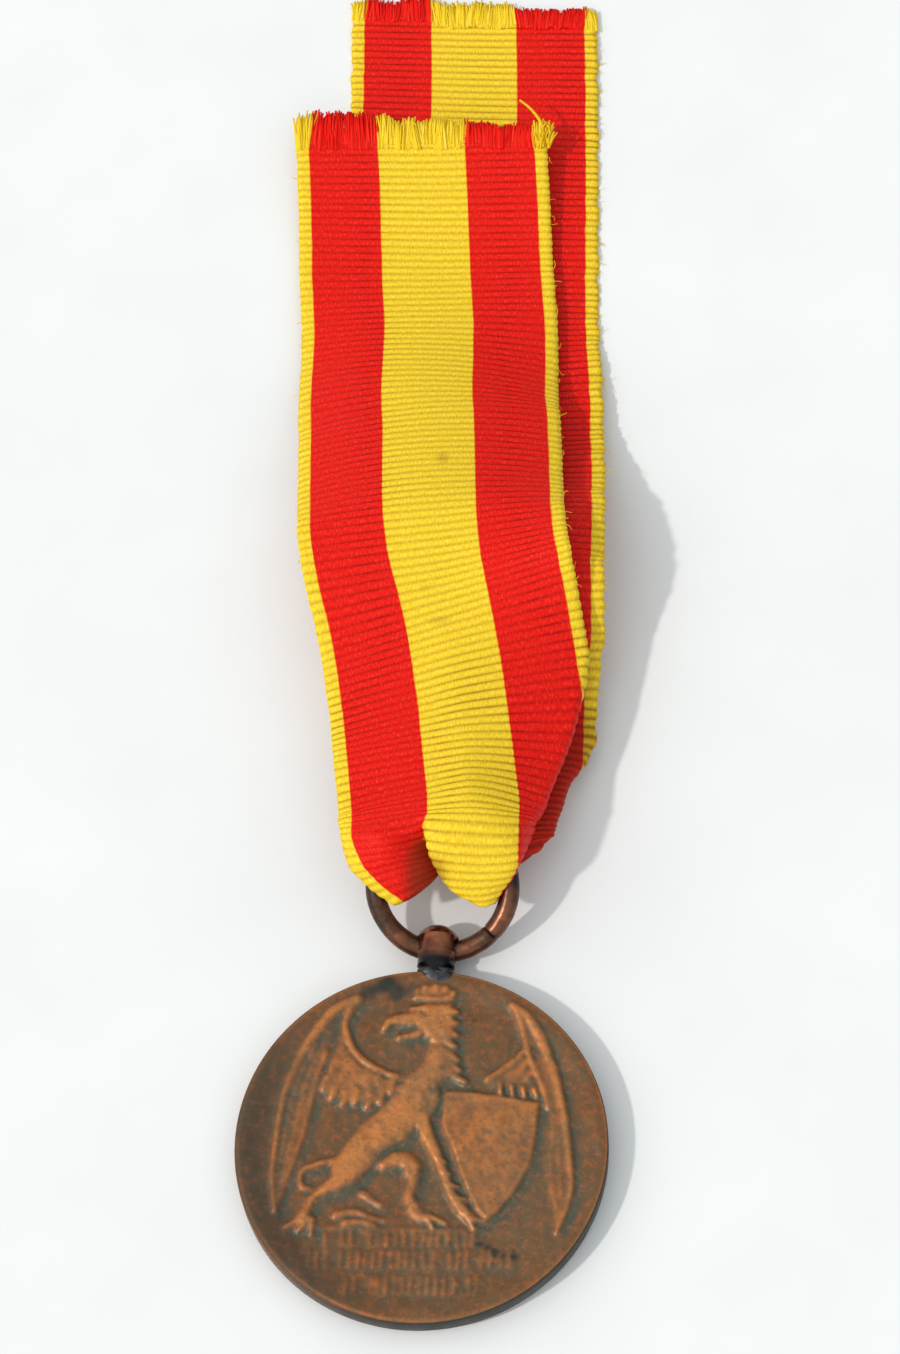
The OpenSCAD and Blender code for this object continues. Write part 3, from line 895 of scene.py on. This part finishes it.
def body_and_legs(relief):
    """Upright body, hind legs, forelegs with claws, the tail and low growth between the legs."""
    trunk = [(-2.1, 6.7), (1.1, 5.5), (1.3, 1.9), (-0.2, 2.0), (-1.2, 1.6), (-2.5, 0.7), (-4.0, 0.1),
             (-5.6, 0.6), (-4.6, 2.0), (-3.3, 3.2), (-3.1, 5.1)]
    thigh = [(-5.8, 1.0), (-3.9, 1.7), (-2.6, 0.9), (-3.4, -0.8), (-4.3, -2.6), (-5.6, -4.3),
             (-6.9, -5.2), (-8.4, -5.6), (-8.8, -6.6), (-8.8, -7.9), (-10.3, -8.4), (-11.3, -7.9),
             (-10.5, -6.4), (-9.9, -5.3), (-8.3, -3.3), (-7.2, -1.0)]
    leg = [(-4.2, -1.9), (-2.7, -0.5), (-0.8, -0.4), (0.5, -1.8), (0.5, -3.5), (0.1, -4.8), (1.0, -6.0),
           (2.3, -7.1), (0.5, -7.7), (-1.0, -6.5), (-1.6, -5.0), (-1.3, -3.4), (-1.8, -2.5),
           (-3.4, -3.0)]
    fore = [(-1.0, 3.6), (0.6, 3.4), (1.3, 1.2), (2.1, -0.5), (2.8, -2.1), (3.5, -3.8), (4.6, -5.3),
            (6.0, -6.9), (5.0, -7.6), (3.5, -6.5), (2.3, -4.8), (1.6, -3.0), (0.7, -1.2), (-0.1, 0.2),
            (-0.9, 1.4)]
    relief.shape(trunk, 0.46, 1.5)
    relief.shape(thigh, 0.46, 1.0)
    belly = [(-0.6, 4.4), (-2.0, 2.4), (-3.9, 0.7), (-5.2, -1.0), (-6.6, -3.2)]
    relief.line(belly, 4.4, 0.46, 3.0, 0.5)
    relief.shape(leg, 0.36, 0.8)
    relief.shape(fore, 0.46, 0.6)
    claws = ((-9.4, -7.3, -11.4, -8.2), (-9.4, -7.4, -10.3, -8.8), (-9.0, -7.4, -9.0, -8.8),
             (1.2, -6.6, 3.0, -7.3), (1.0, -6.8, 1.8, -7.9), (4.8, -6.6, 6.5, -7.0),
             (4.6, -6.8, 5.5, -7.8))
    relief.strokes(claws, 0.65, 0.40, 0.35)
    tufts = ((1.4, -1.2, 2.5, -1.6), (1.8, -2.4, 3.1, -2.7), (2.3, -3.6, 3.7, -3.8),
             (2.9, -4.8, 4.5, -4.9))
    relief.strokes(tufts, 0.5, 0.54, 0.3)
    tail = [(-7.2, -1.8), (-8.8, -2.2), (-10.3, -3.0), (-10.2, -4.4), (-9.2, -4.6)]
    relief.line(tail, 0.7, 0.28, 0.5)
    for growth in ([(-7.0, -6.9), (-5.4, -6.5), (-4.0, -6.9), (-2.4, -7.3)],
                   [(-4.9, -4.7), (-3.9, -5.4), (-2.9, -5.9)],
                   [(-6.2, -7.6), (-4.6, -7.4), (-3.2, -7.8)]):
        relief.line(growth, 0.85, 0.26, 0.5)


def shield(relief):
    """Plain shield with a fine raised border, and the paw laid over its upper corner."""
    outline = [(1.5, 5.3), (4.3, 5.3), (7.5, 5.0), (10.4, 4.6), (10.3, 1.6), (9.9, -1.4), (8.8, -3.9),
               (7.4, -6.0), (6.1, -7.1), (5.0, -5.7), (3.9, -3.6), (3.1, -1.6), (2.3, 0.4), (1.5, 2.0)]
    d, hit = relief.depth_inside(outline)
    face = (0.22 + 0.08 * np.clip(1 - ((relief.x - 6.0) / 5) ** 2, 0, 1)) * ramp(d, -0.02, 0.35)
    face += 0.07 * np.clip(1 - np.abs(d - 0.4) / 0.25, 0, 1)
    over = np.where(relief.h > FULL_RELIEF, relief.h, 0)
    relief.h = np.where(hit, np.maximum(face, over), relief.h)
    paw = ((6.6, 5.9, 6.7, 5.2), (7.6, 5.8, 7.8, 5.0), (8.6, 5.7, 8.9, 4.9), (9.6, 5.6, 10.0, 4.9))
    relief.strokes(paw, 0.7, 0.46, 0.5)


def worn_rows(relief):
    """Uneven ground line and three rows of plain worn bars below it."""
    relief.line([(-11.4, -8.3), (-6.0, -8.0), (0.0, -7.9), (6.2, -7.6)], 0.55, 0.13)
    rng = np.random.default_rng(5)
    # Each row: height of its middle at its start and at its stop, start, stop, and bar length.
    rows = ((-9.0, -8.4, -7.7, 5.2, 1.3), (-11.0, -10.1, -8.9, 8.6, 1.4),
            (-13.1, -12.5, -5.6, 6.0, 1.7))
    for first, last, start, stop, tall in rows:
        place = start
        while place < stop:
            middle = first + (last - first) * (place - start) / (stop - start)
            lift = 0.13 + 0.07 * rng.random()
            lean = rng.normal(0, 0.05)
            if rng.random() > 0.10:
                ends = [(place, middle - tall / 2), (place + lean, middle + tall / 2)]
                relief.line(ends, 0.44, lift, 0.44)
            if rng.random() > 0.55:
                level = middle + rng.choice((-0.42, 0.0, 0.42)) * tall
                relief.line([(place, level), (place + 0.6, level)], 0.36, lift, 0.36)
            place += rng.uniform(0.62, 0.86)


def blurred(h, times):
    """The map softened by a small blur, repeated."""
    for _ in range(times):
        h = (2 * h + np.roll(h, 1, 0) + np.roll(h, -1, 0)) / 4
        h = (2 * h + np.roll(h, 1, 1) + np.roll(h, -1, 1)) / 4
    return h


def worn_relief():
    """The obverse on a square grid: the grid's step, the height softened by wear, and the recesses'
    patina together with painted shadow on the lower right of the forms.
    """
    step = 0.085
    side = np.arange(MAP_START, -MAP_START, step)
    relief = Relief(*np.meshgrid(side, side, indexing="ij"))
    for draw in (left_wing, right_wing, body_and_legs, head_and_neck, crown, shield, worn_rows):
        draw(relief)
    h = relief.h
    rng = np.random.default_rng(14)
    grain = blurred(rng.normal(0, 1, h.shape), 6)
    coarse = blurred(rng.normal(0, 1, h.shape), 40)
    grain = grain / grain.std()
    coarse = coarse / coarse.std()
    soft = 0.90 * blurred(h, 5) + 0.012 * grain * np.clip(blurred(h, 4) * 4, 0.25, 1) + 0.022 * coarse
    wide = blurred(soft, 26)
    halo = blurred(soft, 110)
    # Painted shadow: the lower right side of each form, turned from the light, gets the recess tint.
    lee_shadow = np.maximum(np.roll(soft, (4, -4), (0, 1)), np.roll(soft, (8, -8), (0, 1)))
    recess_patina_and_shadow = (np.clip((wide - soft) * 6, 0, 1) * 0.50 + np.clip((lee_shadow - soft) * 4.5, 0, 1) * 0.75
              + np.clip((halo - soft) * 4, 0, 1) * 0.55)
    return step, soft, np.clip(blurred(recess_patina_and_shadow, 1), 0, 1)


def read_grid(values, step, x, y):
    """Bilinear reading of a square map that starts at MAP_START on both axes."""
    u = np.clip((x - MAP_START) / step, 0, values.shape[0] - 2)
    v = np.clip((y - MAP_START) / step, 0, values.shape[1] - 2)
    i, j = u.astype(int), v.astype(int)
    a, b = u - i, v - j
    return ((values[i, j] * (1 - a) + values[i + 1, j] * a) * (1 - b)
            + (values[i, j + 1] * (1 - a) + values[i + 1, j + 1] * a) * b)


def around(radius, angle):
    """The point at this radius and angle about the disc's centre."""
    return (radius * math.cos(angle), radius * math.sin(angle))


def reverse_relief(x, y):
    """A generic wreath of two leafy branches tied at the foot."""
    relief = Relief(x, y)
    for side in (-1, 1):
        stem = [around(WREATH_RADIUS, a) for a in np.radians(np.linspace(-84, 62, 12))]
        relief.line([(side * px, py) for px, py in stem], 0.4, 0.20, 0.3)
        for k in range(15):
            a = math.radians(-78 + 9.4 * k)
            for out in (1.9, -1.9):
                root = around(WREATH_RADIUS, a)
                tip = around(WREATH_RADIUS + out, a + 0.17)
                mid = ((root[0] + tip[0]) / 2, (root[1] + tip[1]) / 2)
                relief.line([(side * px, py) for px, py in (root, mid, tip)], 1.0, 0.22, 0.2)
    for side in (1, -1):
        relief.line([(-1.6 * side, -12.6), (0, -11.6), (1.6 * side, -10.6)], 0.5, 0.22, 0.4)
    return relief.h


def disc_stain(x, y):
    """Dark corrosion: the patch by the crown, spots on the lower right and the worn left border."""
    s = np.zeros(x.shape)
    wobble = 0.22 * np.sin(2.6 * x + 1.4 * y) + 0.18 * np.sin(3.1 * y - 1.9 * x)
    for px, py, r, amount in ((-4.4, 14.7, 1.7, 0.95), (-3.0, 14.7, 1.3, 0.90), (-5.6, 14.2, 1.3, 0.60),
                              (5.7, -8.9, 0.45, 0.85), (7.2, -9.5, 0.6, 0.75), (8.8, -10.0, 0.55, 0.85),
                              (6.5, -9.2, 0.4, 0.7), (7.9, -9.9, 0.4, 0.6), (3.9, 12.0, 0.4, 0.4)):
        d = np.hypot(x - px, (y - py) * 1.3) / r + wobble
        s = np.maximum(s, amount * ramp(d, 1.25, 0.2))
    border = ramp(np.hypot(x, y), 11.5, 15.0) * ramp(-0.9 * x - 0.25 * y, 5.0, 13.0)
    return np.maximum(s, 0.50 * border)


def build_disc():
    """Struck disc: obverse, rounded edge and reverse in one closed mesh on a polar grid."""
    across = 560
    angle = np.linspace(0, 2 * math.pi, across, endpoint=False)
    r_top = np.concatenate([np.linspace(0.05, 15.9, 118), [16.02, 16.14, 16.26, 16.36]])
    r_wall = np.array([16.44, 16.5, 16.5, 16.42, 16.3])
    z_wall = np.array([2.14, 2.02, 0.30, 0.10, 0.03])
    r_low = np.linspace(16.2, 0.1, 50)
    radius = np.concatenate([r_top, r_wall, r_low])
    top, low = len(r_top), len(r_top) + len(r_wall)
    x = radius[:, None] * np.cos(angle)
    y = radius[:, None] * np.sin(angle)

    step, soft, dark = worn_relief()
    rt = r_top[:, None]
    relief = read_grid(soft, step, x[:top], y[:top]) * ramp(rt, 16.0, 15.3)
    z_top = 1.93 + 0.27 * ramp(rt, 13.6, 16.0) + relief - 0.10 * ramp(rt, 16.0, 16.45)
    rb = r_low[:, None]
    wreath = reverse_relief(x[low:], y[low:]) * ramp(rb, 16.0, 15.2)
    raised = np.maximum(wreath, REVERSE_DEPTH * ramp(rb, 15.4, 15.7))
    wall = np.zeros((len(r_wall), across))
    z = np.concatenate([z_top, wall + z_wall[:, None], REVERSE_DEPTH - raised])
    verts = np.stack([x, y, z], axis=-1).reshape(-1, 3)
    faces = [face[::-1] for face in tube_faces(across, len(radius), 0)]

    height_top = np.clip(relief / FULL_RELIEF, 0, 1) + 0.45 * ramp(rt, 15.9, 16.3)
    # The recess map holds patina in the hollows and painted shadow on the lower right of the forms.
    recess_patina_and_shadow_top = read_grid(dark, step, x[:top], y[:top]) * ramp(rt, 16.0, 15.4)
    # Painted shade: the edge wall is darkened towards its lower right, the side turned from the light;
    # its even darkening is patina.
    wall_shade = ramp(np.cos(angle + 0.9), -0.2, 0.8)
    maps = {
        "height": (height_top, wall + 0.1, np.clip(raised / REVERSE_DEPTH, 0, 1) * 0.6),
        "recess_patina_and_shadow": (recess_patina_and_shadow_top, wall, np.clip(0.25 - raised, 0, 0.25) * 1.5),
        "stain_and_wall_shade": (disc_stain(x[:top], y[:top]), wall + 0.18 + 0.74 * wall_shade, raised * 0)}
    disc = new_mesh("disc_struck", verts, faces, {
        key: np.concatenate(parts).ravel() for key, parts in maps.items()})
    disc.data.materials.append(bronze_material())
    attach(disc, "medal")
    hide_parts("disc")


# ---------- ring, lug and solder ----------

def build_ring():
    """Bent wire with its butt seam open by a hair."""
    tilt = math.radians(RING_TILT)
    centre = np.array([0.3, HOLE_Y + RING_REACH * math.cos(tilt), HOLE_Z + RING_REACH * math.sin(tilt)])
    u = np.array([1.0, 0, 0])
    v = np.array([0, math.cos(tilt), math.sin(tilt)])
    n = np.cross(u, v)
    seam = math.radians(-42)
    gap = 0.014
    rings, sides = 190, 28
    angles = seam + np.linspace(0, 2 * math.pi - gap, rings)
    turn = np.linspace(0, 2 * math.pi, sides, endpoint=False)
    rng = np.random.default_rng(9)
    wobble = sum(rng.normal(0, 0.012) * np.sin(k * angles + rng.uniform(0, 6)) for k in range(2, 9))
    # The two ends are rounded over by making their last rings of points smaller.
    narrow = np.ones(rings)
    narrow[[0, -1]] = 0.93
    narrow[[1, -2]] = 0.985
    verts = []
    for k, a in enumerate(angles):
        out = math.cos(a) * u + math.sin(a) * v
        wire = (WIRE_RADIUS + wobble[k]) * narrow[k]
        for b in turn:
            verts.append(centre + out * (RING_RADIUS + wire * math.cos(b)) + n * wire * math.sin(b))
    ring = new_mesh("ring_bent", verts, tube_faces(sides, rings, 0))
    ring.data.materials.append(ring_material())
    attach(ring, "ring")
    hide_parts("suspension_ring")


def build_solder():
    """Solder collar round the waist with a foot lapped onto the obverse."""
    # Each lump is an ellipsoid: its centre and its half sizes.
    lumps = (((0, 16.75, 1.2), (1.72, 0.62, 1.30)), ((0.4, 16.1, 2.05), (1.35, 0.62, 0.30)),
             ((-0.5, 16.55, 2.15), (0.8, 0.5, 0.35)))
    rows, cols = 16, 32
    polar = (math.pi * (np.arange(rows) + 0.5) / rows)[:, None]
    turn = 2 * math.pi * np.arange(cols) / cols
    ball = np.stack([np.sin(polar) * np.cos(turn), np.sin(polar) * np.sin(turn),
                     np.cos(polar) + 0 * turn], axis=-1).reshape(-1, 3)
    verts, faces = [], []
    for centre, size in lumps:
        faces += tube_faces(cols, rows, len(verts))
        verts.extend(centre + ball * size)
    solder = new_mesh("solder_blob", verts, faces)
    bpy.context.view_layer.objects.active = solder
    remesh = solder.modifiers.new("join", "REMESH")
    remesh.mode = "VOXEL"
    remesh.voxel_size = 0.09 * MM
    soften = solder.modifiers.new("soften", "SMOOTH")
    soften.iterations = 8
    soften.factor = 0.6
    dg = bpy.context.evaluated_depsgraph_get()
    final = bpy.data.meshes.new_from_object(solder.evaluated_get(dg))
    solder.modifiers.clear()
    solder.data = final
    shade_smooth(final)
    final.materials.append(solder_material())
    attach(solder, "medal")
    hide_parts("solder_fillet")


def finish_lug():
    """The turned ball and neck stay as the CAD part, with a smooth glossy finish."""
    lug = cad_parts["ball_lug"]
    lug.data.materials.clear()
    lug.data.materials.append(lug_material())
    bpy.context.view_layer.objects.active = lug
    for o in bpy.context.selected_objects:
        o.select_set(False)
    lug.select_set(True)
    bpy.ops.object.shade_smooth_by_angle(angle=math.radians(35))


# ---------- stage ----------

def build_floor():
    """One pale face under the medal; it runs further back than forward. Sizes in metres."""
    side = 1.5
    back = 2.1
    verts = [(-side, -side, 0), (side, -side, 0), (side, back, 0), (-side, back, 0)]
    mesh = bpy.data.meshes.new("floor")
    mesh.from_pydata(verts, [], [(0, 1, 2, 3)])
    floor = bpy.data.objects.new("floor", mesh)
    floor.location = (0, 0, TABLE_Z * MM)
    bpy.context.scene.collection.objects.link(floor)
    mesh.materials.append(floor_material())


def build_key_light():
    """A low-strength sun from the upper left, in the direction the photograph's shadows give."""
    sun = bpy.data.lights.new("key", "SUN")
    sun.energy = 1.5
    sun.angle = math.radians(3)
    sun.color = (1.0, 0.97, 0.92)
    lamp = bpy.data.objects.new("key", sun)
    direction = Vector((0.797, 0.548, -1.0)).normalized()
    lamp.rotation_mode = "QUATERNION"
    lamp.rotation_quaternion = direction.to_track_quat("-Z", "Y")
    bpy.context.scene.collection.objects.link(lamp)


def build_world():
    """Soft studio light: brightest overhead and from the side the sun is on."""
    world = bpy.data.worlds.new("studio")
    bpy.context.scene.world = world
    world.use_nodes = True
    n = Nodes(world.node_tree)
    side = n.plus(n.times(n.axis("X", "Generated"), -0.55), n.times(n.axis("Y", "Generated"), -0.45))
    high = n.plus(side, n.times(n.axis("Z", "Generated"), 0.55))
    colour = n.ramp(n.span(high, -0.9, 0.9), (0.15, (0.24, 0.26, 0.265)),
                    (0.50, (0.56, 0.60, 0.605)), (0.80, (0.90, 0.95, 0.95)))
    background = world.node_tree.nodes["Background"]
    n.put(colour, background.inputs["Color"])
    background.inputs["Strength"].default_value = 1.12


def build_camera():
    """The photograph's viewpoint, found from the disc's outline and the ribbon's width."""
    elevation, azimuth, roll = math.radians(62.399), math.radians(10.331), math.radians(-7.018)
    aim = Vector((-1.026, 47.768, -0.75)) * MM
    distance = 376.513
    back = Vector((math.sin(azimuth) * math.cos(elevation), -math.cos(azimuth) * math.cos(elevation),
                   math.sin(elevation)))
    right = (-back).cross(Vector((0, 0, 1))).normalized()
    up = right.cross(-back)
    x_axis = math.cos(roll) * right + math.sin(roll) * up
    y_axis = -math.sin(roll) * right + math.cos(roll) * up
    camera = bpy.data.cameras.new("camera")
    camera.lens = 106.35
    camera.sensor_width = 36
    camera.clip_start = 0.02
    camera.clip_end = 10
    obj = bpy.data.objects.new("camera", camera)
    rotation = Matrix((x_axis, y_axis, back)).transposed().to_4x4()
    obj.matrix_world = Matrix.Translation(aim + back * distance * MM) @ rotation
    bpy.context.scene.collection.objects.link(obj)
    bpy.context.scene.camera = obj


build_ring()
build_solder()
finish_lug()
build_disc()
build_ribbon()
build_floor()
build_key_light()
build_world()
build_camera()
bpy.context.scene.view_settings.view_transform = "Standard"
bpy.context.view_layer.update()
